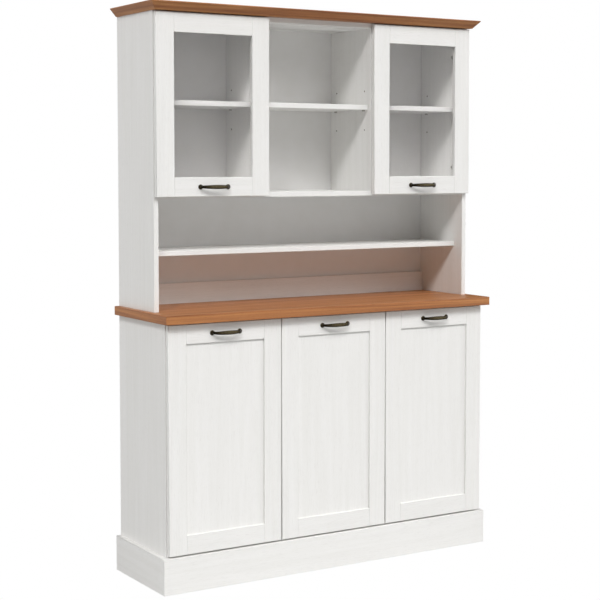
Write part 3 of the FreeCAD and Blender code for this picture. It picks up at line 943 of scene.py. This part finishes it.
@dataclass
class BowHandle:
    """A bow handle: two turned feet and a flat bow that swells towards its middle.

    Attributes:
        door: The door that carries it.
        centres_mm, projection_mm: Distance between the feet, and reach from the door to the bow's outside.
        middle_mm, end_mm, bar_mm: Height of the bow in its middle and at its ends, and its thickness.
        power, section_power: Fullness of the bow's line, seen from above, and of its section.
        end_share: Share of the half circle that the bow covers.
        rings, spokes: Sections along the bow, and points around a section or a foot.
        rub_power, rub_at_ends: How fast the rub fades from the crest, and its share at the bow's ends.
        screw_mm: Radius and height of a handle screw's head.
        foot: Radius and height of the points of a foot's outline, and how far each is rubbed.
    """

    door: str
    centres_mm: float = 96.0
    projection_mm: float = 24.0
    middle_mm: float = 13.0
    end_mm: float = 8.0
    bar_mm: float = 5.0
    power: float = 2.6
    section_power: float = 2.3
    end_share: float = 0.965
    rings: int = 48
    spokes: int = 28
    rub_power: float = 1.5
    rub_at_ends: float = 0.3
    screw_mm: Pair = (4.0, 1.6)
    foot: tuple[Triple, ...] = (
        (8.0, 0.0, 0.1), (8.0, 1.0, 0.4), (7.85, 1.7, 0.9), (7.4, 2.2, 1.0), (6.8, 2.45, 0.7),
        (6.2, 2.5, 0.3), (5.9, 2.4, 0.0), (5.5, 2.6, 0.1), (5.1, 3.3, 0.3), (4.7, 4.4, 0.4),
        (4.3, 5.4, 0.5), (3.6, 6.0, 0.5))

    def centre(self) -> Vector:
        """Find the handle's place on the door.

        Returns:
            The point on the door's face midway between the feet.
        """
        low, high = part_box(self.door + "_handle")
        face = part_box(self.door + "_stiles")[0].y
        return Vector(((low.x + high.x) / 2, face, (low.z + high.z) / 2))

    def bow_point(self, angle: float) -> Vector:
        """Follow the bow's middle line.

        Args:
            angle: Place along the bow, from 0 to half a turn.

        Returns:
            The point there, in millimetres from the handle's centre.
        """
        across = fuller(math.cos(angle), self.power)
        out = fuller(math.sin(angle), self.power)
        return Vector((-across * self.centres_mm / 2, -out * (self.projection_mm - self.bar_mm / 2), 0.0))

    def bow_ring(self, angle: float) -> tuple[list[Vector], list[float]]:
        """Return one section of the bow.

        Args:
            angle: Place along the bow, from 0 to half a turn.

        Returns:
            The section's points and how far each is rubbed.
        """
        small = (1 - self.end_share) * math.pi / 4
        point = self.bow_point(angle)
        run = (self.bow_point(angle + small) - self.bow_point(angle - small)).normalized()
        side = Vector((-run.y, run.x, 0.0))
        swell = 1 - (point.x / (self.centres_mm / 2)) ** 2
        height = self.end_mm + (self.middle_mm - self.end_mm) * swell
        points, wear = [], []
        for spoke in range(self.spokes):
            turn = 2 * math.pi * spoke / self.spokes
            thick = fuller(math.cos(turn), self.section_power)
            tall = fuller(math.sin(turn), self.section_power)
            points.append(point + side * (thick * self.bar_mm / 2) + Vector((0.0, 0.0, tall * height / 2)))
            outward = max(0.0, -(side.y * math.cos(turn)))
            wear.append(outward ** self.rub_power * (self.rub_at_ends + (1 - self.rub_at_ends) * swell))
        return points, wear

    def foot_rings(self, side: int) -> list[tuple[list[Vector], list[float]]]:
        """Return the rings of one turned foot.

        Args:
            side: -1 for the left foot, 1 for the right one.

        Returns:
            Points and rub of each ring, from the door outwards.
        """
        rings = []
        middle = side * self.centres_mm / 2
        turns = [2 * math.pi * spoke / self.spokes for spoke in range(self.spokes)]
        for radius, out, rub in self.foot:
            points = [Vector((middle + radius * math.cos(turn), -out, radius * math.sin(turn)))
                      for turn in turns]
            rings.append((points, [rub] * self.spokes))
        return rings

    def mesh(self) -> Mesh:
        """Make bow and feet as one smooth mesh with its rub in an attribute.

        Returns:
            The mesh.
        """
        last = math.pi / 2 * self.end_share
        angles = [math.pi / 2 - last + 2 * last * ring / (self.rings - 1) for ring in range(self.rings)]
        tubes = [[self.bow_ring(angle) for angle in angles], self.foot_rings(-1), self.foot_rings(1)]
        shape = bmesh.new()
        rub = shape.verts.layers.float.new("wear")
        centre = self.centre()
        for tube in tubes:
            loops = []
            for points, wear in tube:
                loop = [shape.verts.new(centre + point * MM) for point in points]
                for vertex, value in zip(loop, wear):
                    vertex[rub] = value
                loops.append(loop)
            skin(shape, loops)
        bmesh.ops.recalc_face_normals(shape, faces=shape.faces)
        for face in shape.faces:
            face.smooth = len(face.verts) == 4
        return to_mesh(shape, self.door + "_bow_handle")

    def build(self) -> None:
        """Make the handle, and the heads of its screws on the door's back."""
        node = self.door + "_handle"
        add_piece(self.door + "_bow_handle", self.mesh(), BRONZE, PLACES[node], [node])
        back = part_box(self.door + "_stiles")[1].y
        centre = self.centre()
        spots = [(Vector((centre.x + side * self.centres_mm * MM / 2, back, centre.z)), Vector((0, 1, 0)))
                 for side in (-1, 1)]
        place = Place(PLACES[node].body, PLACES["hinge_plate_screws"].slot)
        CrossHeadScrews(self.door + "_handle_screws", spots, self.screw_mm).build(place)


@dataclass
class CrossHeadScrews:
    """A set of equal cross-head screws, made by a node tree.

    Attributes:
        name, spots: The name of the piece, and the seat of each head with the way it looks.
        head_mm, top_share: Radius and height of a head, and the share of the radius that its top has.
        cross_shares: Length and width of the cross's arms, as shares of the head's radius.
        cross_depth_share: Depth of the cross, as a share of the head's height.
        corners, seed: Sides of a head, and the start of the random turns of the crosses.
    """

    name: str
    spots: list[Spot]
    head_mm: Pair
    top_share: float = 0.8
    cross_shares: Pair = (1.1, 0.24)
    cross_depth_share: float = 0.6
    corners: int = 24
    seed: int = 4

    def tree(self) -> Tree:
        """Find the node tree that sets a screw head on every point, or make it.

        Returns:
            The tree.
        """
        found = bpy.data.node_groups.get("cross_head_screws")
        if found is not None:
            return found
        tree = spot_tree("cross_head_screws", (
            "Head radius", "Top radius", "Head height", "Cross length", "Cross width", "Cross depth"))
        given = add_node(tree, "NodeGroupInput").outputs
        head = add_node(tree, "GeometryNodeMeshCone", {
            "Vertices": self.corners, "Radius Top": given["Top radius"],
            "Radius Bottom": given["Head radius"], "Depth": given["Head height"]}).outputs["Mesh"]
        deep = add_node(tree, "ShaderNodeMath", {0: given["Cross depth"], 1: 2.0}, operation="MULTIPLY")
        for across, along in (("Cross length", "Cross width"), ("Cross width", "Cross length")):
            size = add_node(tree, "ShaderNodeCombineXYZ", {
                0: given[across], 1: given[along], 2: deep.outputs[0]})
            cube = add_node(tree, "GeometryNodeMeshCube", {"Size": size.outputs[0]})
            arm = lifted(tree, cube.outputs["Mesh"], given["Head height"])
            head = add_node(tree, "GeometryNodeMeshBoolean", {"Mesh 1": head, "Mesh 2": arm},
                            operation="DIFFERENCE").outputs["Mesh"]
        turn = add_node(tree, "FunctionNodeRandomValue", {
            "Max": math.pi / 2, "Seed": self.seed}, data_type="FLOAT")
        twist = add_node(tree, "FunctionNodeAxisAngleToRotation", {
            "Axis": (0.0, 0.0, 1.0), "Angle": turn.outputs[1]})
        set_on_spots(tree, given, head, twist.outputs[0])
        return tree

    def build(self, place: Place, stands_for: Iterable[str] = ()) -> None:
        """Make the screws as one plain mesh and put it into the scene.

        Args:
            place: The body they ride on and their slot.
            stands_for: The nodes they replace.
        """
        head, high = (size * MM for size in self.head_mm)
        long, wide = (head * share for share in self.cross_shares)
        values = {"Head radius": head, "Top radius": head * self.top_share, "Head height": high,
                  "Cross length": long, "Cross width": wide, "Cross depth": high * self.cross_depth_share}
        mesh = mesh_from_tree(self.name, self.tree(), self.spots, values, NICKEL)
        add_piece(self.name, mesh, NICKEL, place, stands_for)


@dataclass
class ShelfPins:
    """The turned pins under the loose shelves, made by a node tree.

    Attributes:
        node: The node that they replace.
        radius_mm, corners: Radius of a pin, and its sides.
        tip_mm, tip_share: Length of the chamfer at the free end, and the share of the radius left there.
    """

    node: str = "shelf_pins"
    radius_mm: float = 2.5
    tip_mm: float = 0.7
    tip_share: float = 0.75
    corners: int = 20

    def tree(self) -> Tree:
        """Make the node tree that sets a pin on every point.

        Returns:
            The tree.
        """
        tree = spot_tree("turned_pins", ("Radius", "Length", "Tip length", "Tip radius"))
        given = add_node(tree, "NodeGroupInput").outputs
        straight = add_node(tree, "ShaderNodeMath", {
            0: given["Length"], 1: given["Tip length"]}, operation="SUBTRACT").outputs[0]
        shaft, tip = (
            add_node(tree, "GeometryNodeMeshCone", {
                "Vertices": self.corners, "Radius Top": top, "Radius Bottom": given["Radius"],
                "Depth": length})
            for top, length in ((given["Radius"], straight), (given["Tip radius"], given["Tip length"])))
        pin = add_node(tree, "GeometryNodeMeshBoolean", {"Mesh 2": shaft.outputs["Mesh"]}, operation="UNION")
        tree.links.new(lifted(tree, tip.outputs["Mesh"], straight), pin.inputs["Mesh 2"])
        set_on_spots(tree, given, pin.outputs["Mesh"])
        return tree

    def build(self) -> None:
        """Make all pins in place of their node."""
        middles = [sum(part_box("%s_shelf_%s" % (unit, bay))[end].x for end in (0, 1)) / 2
                   for unit in ("base", "hutch") for bay in ("left", "middle", "right")]
        spots = []
        for low, high in solids_of(self.node):
            centre = (low + high) / 2
            nearest = min(middles, key=lambda middle: abs(middle - centre.x))
            way = 1 if nearest > centre.x else -1
            spots.append((Vector((low.x if way > 0 else high.x, centre.y, centre.z)), Vector((way, 0, 0))))
        length = high.x - low.x
        values = {"Radius": self.radius_mm * MM, "Length": length, "Tip length": self.tip_mm * MM,
                  "Tip radius": self.radius_mm * self.tip_share * MM}
        mesh = mesh_from_tree("turned_shelf_pins", self.tree(), spots, values, NICKEL)
        add_piece("turned_shelf_pins", mesh, NICKEL, PLACES[self.node], [self.node])


@dataclass
class HingeHardware:
    """The carcass half of the cup hinges: arms, mounting plates and their screws.

    Attributes:
        ease_mm, steps: Radius of the pressed edges, and faces across one.
        shortest_mm: Edges shorter than this stay sharp.
        plate_screw_mm, setting_screw_mm: Radius and height of a mounting and of a setting screw's head.
        setting_places_mm: Distances of the setting screws from the arm's tail end.
    """

    ease_mm: float = 0.35
    steps: int = 2
    shortest_mm: float = 6.0
    plate_screw_mm: Pair = (3.2, 1.2)
    setting_screw_mm: Pair = (2.7, 0.7)
    setting_places_mm: Pair = (9.0, 26.0)

    def way_in(self, x: float) -> int:
        """Return the way along X into the bay of a hinge: only the left doors hang on the left."""
        return 1 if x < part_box("base_divider_left")[0].x else -1

    def build(self) -> None:
        """Make arms, plates and screws."""
        for node in ("hinge_arms", "hinge_plates"):
            Board(node, NICKEL, self.ease_mm, self.shortest_mm, self.steps).build()
        screws = "hinge_plate_screws"
        spots = []
        for low, high in solids_of(screws):
            centre = (low + high) / 2
            way = self.way_in(centre.x)
            seat = (high.x if way > 0 else low.x) - way * self.plate_screw_mm[1] * MM
            spots.append((Vector((seat, centre.y, centre.z)), Vector((way, 0, 0))))
        CrossHeadScrews("plate_screws", spots, self.plate_screw_mm).build(PLACES[screws], [screws])
        spots = []
        for low, high in solids_of("hinge_arms"):
            way = self.way_in((low.x + high.x) / 2)
            face = high.x if way > 0 else low.x
            height = (low.z + high.z) / 2
            for place in self.setting_places_mm:
                spots.append((Vector((face, high.y - place * MM, height)), Vector((way, 0, 0))))
        CrossHeadScrews("arm_setting_screws", spots, self.setting_screw_mm).build(PLACES["hinge_arms"])


@dataclass
class FramedDoor:
    """A framed door with its panel or pane, its handle and its hinge cups.

    Attributes:
        name, kind: The door's body, which begins the names of its nodes, and what fills its frame.
        ease_mm, glass_ease_mm: Radius of the edges of stiles, rails and panel, and of the pane's edges.
        wing_mm, wing_screw_mm: Distance of a cup's screws from its middle, and radius and height of a head.
        bead_round_mm, bead_steps: Radius of the beads' inner edge, and faces across it.
    """

    name: str
    kind: DoorKind
    ease_mm: float = 0.6
    glass_ease_mm: float = 0.3
    wing_mm: float = 21.7
    wing_screw_mm: Pair = (3.1, 1.0)
    bead_round_mm: float = 1.5
    bead_steps: int = 5

    def beads(self) -> Mesh:
        """Make four quarter-round strips around the pane's back.

        Returns:
            The mesh.
        """
        low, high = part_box(self.name + "_glass_beads")
        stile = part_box(self.name + "_rails")[0].x
        width = stile - low.x
        deep = high.y - low.y
        round_ = self.bead_round_mm * MM
        turns = [math.pi / 2 * step / self.bead_steps for step in range(self.bead_steps + 1)]
        outline = [(0.0, 0.0), (0.0, deep)]
        outline += [(width - round_ * (1 - math.sin(turn)), deep - round_ * (1 - math.cos(turn)))
                    for turn in turns]
        outline += [(width, 0.0)]
        shape = bmesh.new()
        ends_z = (low.z, high.z)
        ends_x = (low.x + width, high.x - width)
        runs: list[tuple[Callable[[float, float, float], Triple], Pair]] = [
            (lambda u, v, w: (low.x + u, low.y + v, w), ends_z),
            (lambda u, v, w: (high.x - u, low.y + v, w), ends_z),
            (lambda u, v, w: (w, low.y + v, low.z + u), ends_x),
            (lambda u, v, w: (w, low.y + v, high.z - u), ends_x)]
        for put, ends in runs:
            skin(shape, [[shape.verts.new(put(u, v, end)) for u, v in outline] for end in ends])
        bmesh.ops.recalc_face_normals(shape, faces=shape.faces)
        return to_mesh(shape, self.name + "_beads")

    def hinge_cups(self) -> None:
        """Dress the cups and set two screws in each."""
        node = self.name + "_hinge_cups"
        dress(node, NICKEL)
        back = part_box(self.name + "_stiles")[1].y
        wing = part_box(node)[1].y
        cups = [box for box in solids_of(node) if box[1].y > back]
        spots = []
        for low, high in cups:
            middle = (low + high) / 2
            for side in (-1, 1):
                seat = Vector((middle.x, wing, middle.z + side * self.wing_mm * MM))
                spots.append((seat, Vector((0, 1, 0))))
        CrossHeadScrews(self.name + "_cup_screws", spots, self.wing_screw_mm).build(PLACES[node])

    def build(self) -> None:
        """Make the whole door."""
        Board(self.name + "_stiles", WHITE[GrainRun.UPRIGHT], self.ease_mm).build()
        DoorRails(self.name + "_rails", WHITE[GrainRun.ACROSS], self.ease_mm).build()
        if self.kind is DoorKind.PANEL:
            Board(self.name + "_panel", WHITE[GrainRun.UPRIGHT], self.ease_mm).build()
        else:
            Board(self.name + "_glass", GLASS, self.glass_ease_mm).build()
            node = self.name + "_glass_beads"
            add_piece(self.name + "_beads", self.beads(), WHITE[GrainRun.UPRIGHT], PLACES[node], [node])
        self.hinge_cups()
        BowHandle(self.name).build()


@dataclass(frozen=True)
class SoftLight:
    """A large soft light far off, which fills a part of the sky.

    Attributes:
        turn: Its place round the buffet, in degrees from the front, to the right.
        rise: Its height above the floor, in degrees.
        strength: Its brightness in its middle.
        sharpness: How fast it fades towards its edge, as a power.
    """

    turn: float
    rise: float
    strength: float
    sharpness: float = 6.0

    def way(self) -> Vector:
        """Return the way to the light."""
        turn, rise = math.radians(self.turn), math.radians(self.rise)
        return Vector((math.sin(turn) * math.cos(rise), -math.cos(turn) * math.cos(rise), math.sin(rise)))

    def glow(self, tree: Tree) -> Socket:
        """Wire the light into a world.

        Args:
            tree: The world's node tree.

        Returns:
            The socket of its brightness.
        """
        place = add_node(tree, "ShaderNodeTexCoord").outputs["Generated"]
        near = add_node(tree, "ShaderNodeVectorMath", {0: place, 1: self.way()}, operation="DOT_PRODUCT")
        level = near.outputs["Value"]
        steps = (("MAXIMUM", 0.0), ("POWER", self.sharpness), ("MULTIPLY", self.strength))
        for operation, value in steps:
            level = add_node(tree, "ShaderNodeMath", {0: level, 1: value}, operation=operation).outputs[0]
        return level


@dataclass
class Studio:
    """Floor, light and camera.

    Attributes:
        floor_reach, floor_grey: Half the floor's side in metres, and its colour in the light it throws back.
        camera_place: Where the camera stands, in metres.
        camera_turn, camera_tilt: The camera's yaw, and how far it looks down, in radians.
        lens_mm, sensor_mm: Focal length, and width of the sensor.
        camera_shift, sight: Vertical shift, as a share of the picture's side, and reach of view in metres.
        key: Place of the key light, with the angle that it fills, in degrees, as its sharpness.
        soft_lights: The fill lights.
    """

    floor_reach: float = 40.0
    floor_grey: str = "#BCBCBB"
    camera_place: Triple = (-2.5372, -4.0559, 1.3075)
    camera_turn: float = -0.5531
    camera_tilt: float = 0.0622
    lens_mm: float = 86.95
    sensor_mm: float = 36.0
    sight: float = 200.0
    camera_shift: float = -0.075
    key: SoftLight = SoftLight(-44.0, 40.8, 1.3, 12.0)
    soft_lights: tuple[SoftLight, ...] = (
        SoftLight(75.0, 18.0, 2.1), SoftLight(-130.0, 25.0, 1.75), SoftLight(8.0, 46.0, 7.1, 30.0),
        SoftLight(45.0, 29.5, 3.0, 60.0))

    def in_view(self, tree: Tree) -> Socket:
        """Part what is seen, straight or through a pane, from the light that is cast.

        Args:
            tree: The node tree of the floor or of the world.

        Returns:
            A socket that is 1 for what is seen and 0 for cast light.
        """
        path = add_node(tree, "ShaderNodeLightPath").outputs
        straight = add_node(tree, "ShaderNodeMath", {
            0: path["Diffuse Depth"], 1: 0.5}, operation="LESS_THAN")
        through = add_node(tree, "ShaderNodeMath", {
            0: path["Is Transmission Ray"], 1: straight.outputs[0]}, operation="MULTIPLY")
        seen = add_node(tree, "ShaderNodeMath", {
            0: path["Is Camera Ray"], 1: through.outputs[0]}, operation="MAXIMUM")
        return seen.outputs[0]

    def seen_as_white(self, tree: Tree, real: Socket, white: Socket) -> Socket:
        """Return the socket of a shader that casts the real light and shows the white one to the eye."""
        both = add_node(tree, "ShaderNodeMixShader", {0: self.in_view(tree), 1: real, 2: white})
        return both.outputs["Shader"]

    def floor(self) -> None:
        """Lay the plain pale floor, which looks as white as the backdrop."""
        shape = bmesh.new()
        bmesh.ops.create_grid(shape, x_segments=1, y_segments=1, size=self.floor_reach)
        mesh = to_mesh(shape, "floor")
        made = bpy.data.materials.new("pale_floor")
        tree = bare_tree(made)
        matt = add_node(tree, "ShaderNodeBsdfDiffuse", {"Color": to_linear(self.floor_grey)})
        white = add_node(tree, "ShaderNodeEmission", {"Color": to_linear(WHITE_LIGHT), "Strength": 1.0})
        both = self.seen_as_white(tree, matt.outputs["BSDF"], white.outputs["Emission"])
        add_node(tree, "ShaderNodeOutputMaterial", {"Surface": both})
        mesh.materials.append(made)
        floor = put_in_scene("floor", mesh)

    def light(self) -> None:
        """Set the key light and the soft lights, before a white backdrop."""
        lamp = bpy.data.lights.new("key", "SUN")
        lamp.energy = self.key.strength
        lamp.angle = math.radians(self.key.sharpness)
        key = put_in_scene("key", lamp)
        key.rotation_euler = (-self.key.way()).to_track_quat("-Z", "Y").to_euler()
        world = bpy.data.worlds.new("studio")
        tree = bare_tree(world)
        total: Any = 0.0
        for soft in self.soft_lights:
            both = {0: total, 1: soft.glow(tree)}
            total = add_node(tree, "ShaderNodeMath", both, operation="ADD").outputs[0]
        glow, white = (
            add_node(tree, "ShaderNodeBackground", {"Color": to_linear(WHITE_LIGHT), "Strength": strength})
            for strength in (total, 1.0))
        shown = self.seen_as_white(tree, glow.outputs["Background"], white.outputs["Background"])
        add_node(tree, "ShaderNodeOutputWorld", {"Surface": shown})
        bpy.context.scene.world = world

    def clear_panes(self) -> None:
        """Let the key light through the panes without loss, so that they weaken only the soft lights."""
        panes = bpy.data.collections.new("panes")
        for item in bpy.data.objects:
            if item.type == "MESH" and GLASS.name in item.data.materials:
                panes.objects.link(item)
        bpy.data.objects["key"].light_linking.blocker_collection = panes
        for entry in panes.collection_objects:
            entry.light_linking.link_state = "EXCLUDE"

    def camera(self) -> None:
        """Set the camera at the photograph's viewing angle."""
        lens = bpy.data.cameras.new("camera")
        lens.lens = self.lens_mm
        lens.sensor_width = self.sensor_mm
        lens.sensor_fit = "HORIZONTAL"
        lens.shift_y = self.camera_shift
        lens.clip_end = self.sight
        camera = put_in_scene("camera", lens)
        camera.location = self.camera_place
        camera.rotation_euler = (math.pi / 2 - self.camera_tilt, 0.0, self.camera_turn)
        bpy.context.scene.camera = camera

    def build(self) -> None:
        """Set up the whole studio."""
        self.floor()
        self.light()
        self.camera()
        bpy.context.scene.view_settings.view_transform = "Standard"


def main() -> None:
    """Build the buffet's looks."""
    logging.basicConfig(level=logging.INFO, format="%(name)s: %(message)s")
    studio = Studio()
    studio.build()
    Carcass().build()
    HingeHardware().build()
    ShelfPins().build()
    for bay in ("left", "middle", "right"):
        FramedDoor("base_door_" + bay, DoorKind.PANEL).build()
    for bay in ("left", "right"):
        FramedDoor("hutch_door_" + bay, DoorKind.GLAZED).build()
    studio.clear_panes()


if __name__ == "__main__":
    main()
